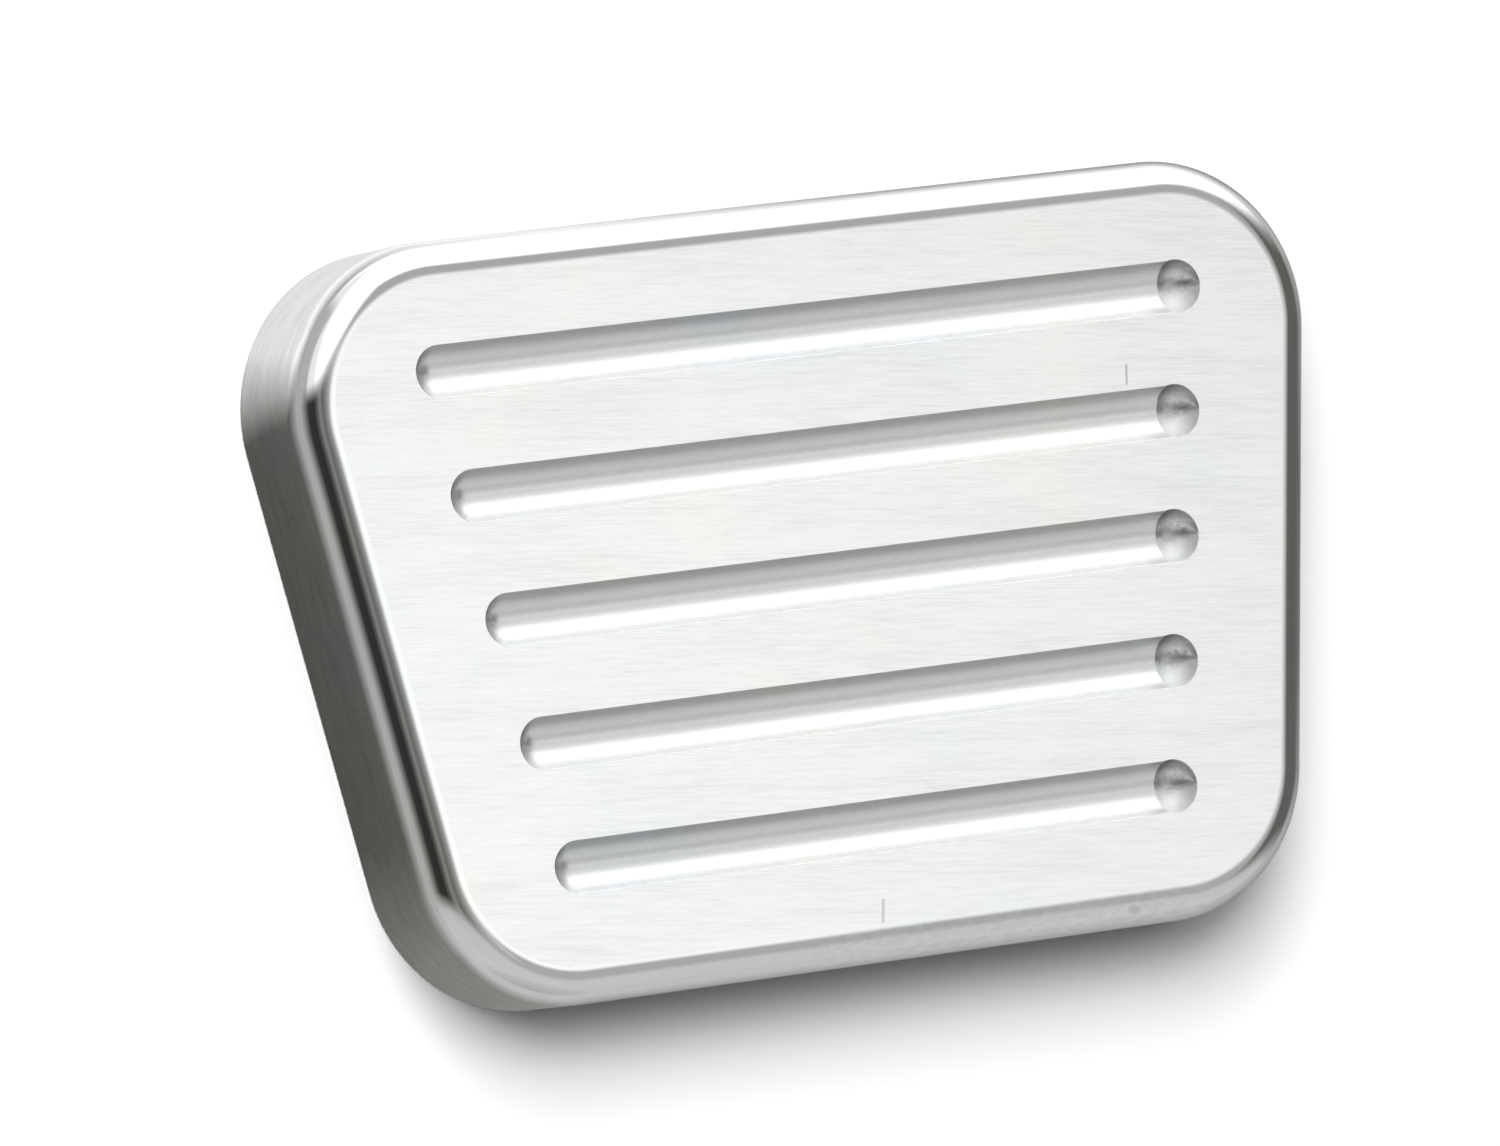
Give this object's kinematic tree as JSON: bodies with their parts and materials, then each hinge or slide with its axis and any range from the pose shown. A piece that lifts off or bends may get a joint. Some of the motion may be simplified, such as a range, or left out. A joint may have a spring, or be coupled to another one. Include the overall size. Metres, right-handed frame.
{
  "type": "brake pedal pad",
  "caption": "Milled aluminium brake pedal pad: rounded trapezoid plate with a rounded-over front edge, ball-nosed grip grooves across its face and tapped screw holes in its flat back.",
  "frame": {"origin": "middle of the flat back, halfway between the wide and the narrow edge", "axes": "+X along the grooves, +Y up the pad towards its wide edge, +Z out of the grooved face"},
  "size_m": [0.0988, 0.0662, 0.0127],
  "materials": {
    "aluminium": "brushed face and sides, polished round-over"
  },
  "bodies": {
    "root": {"brake_pedal_pad": "aluminium"}
  },
  "joints": []
}
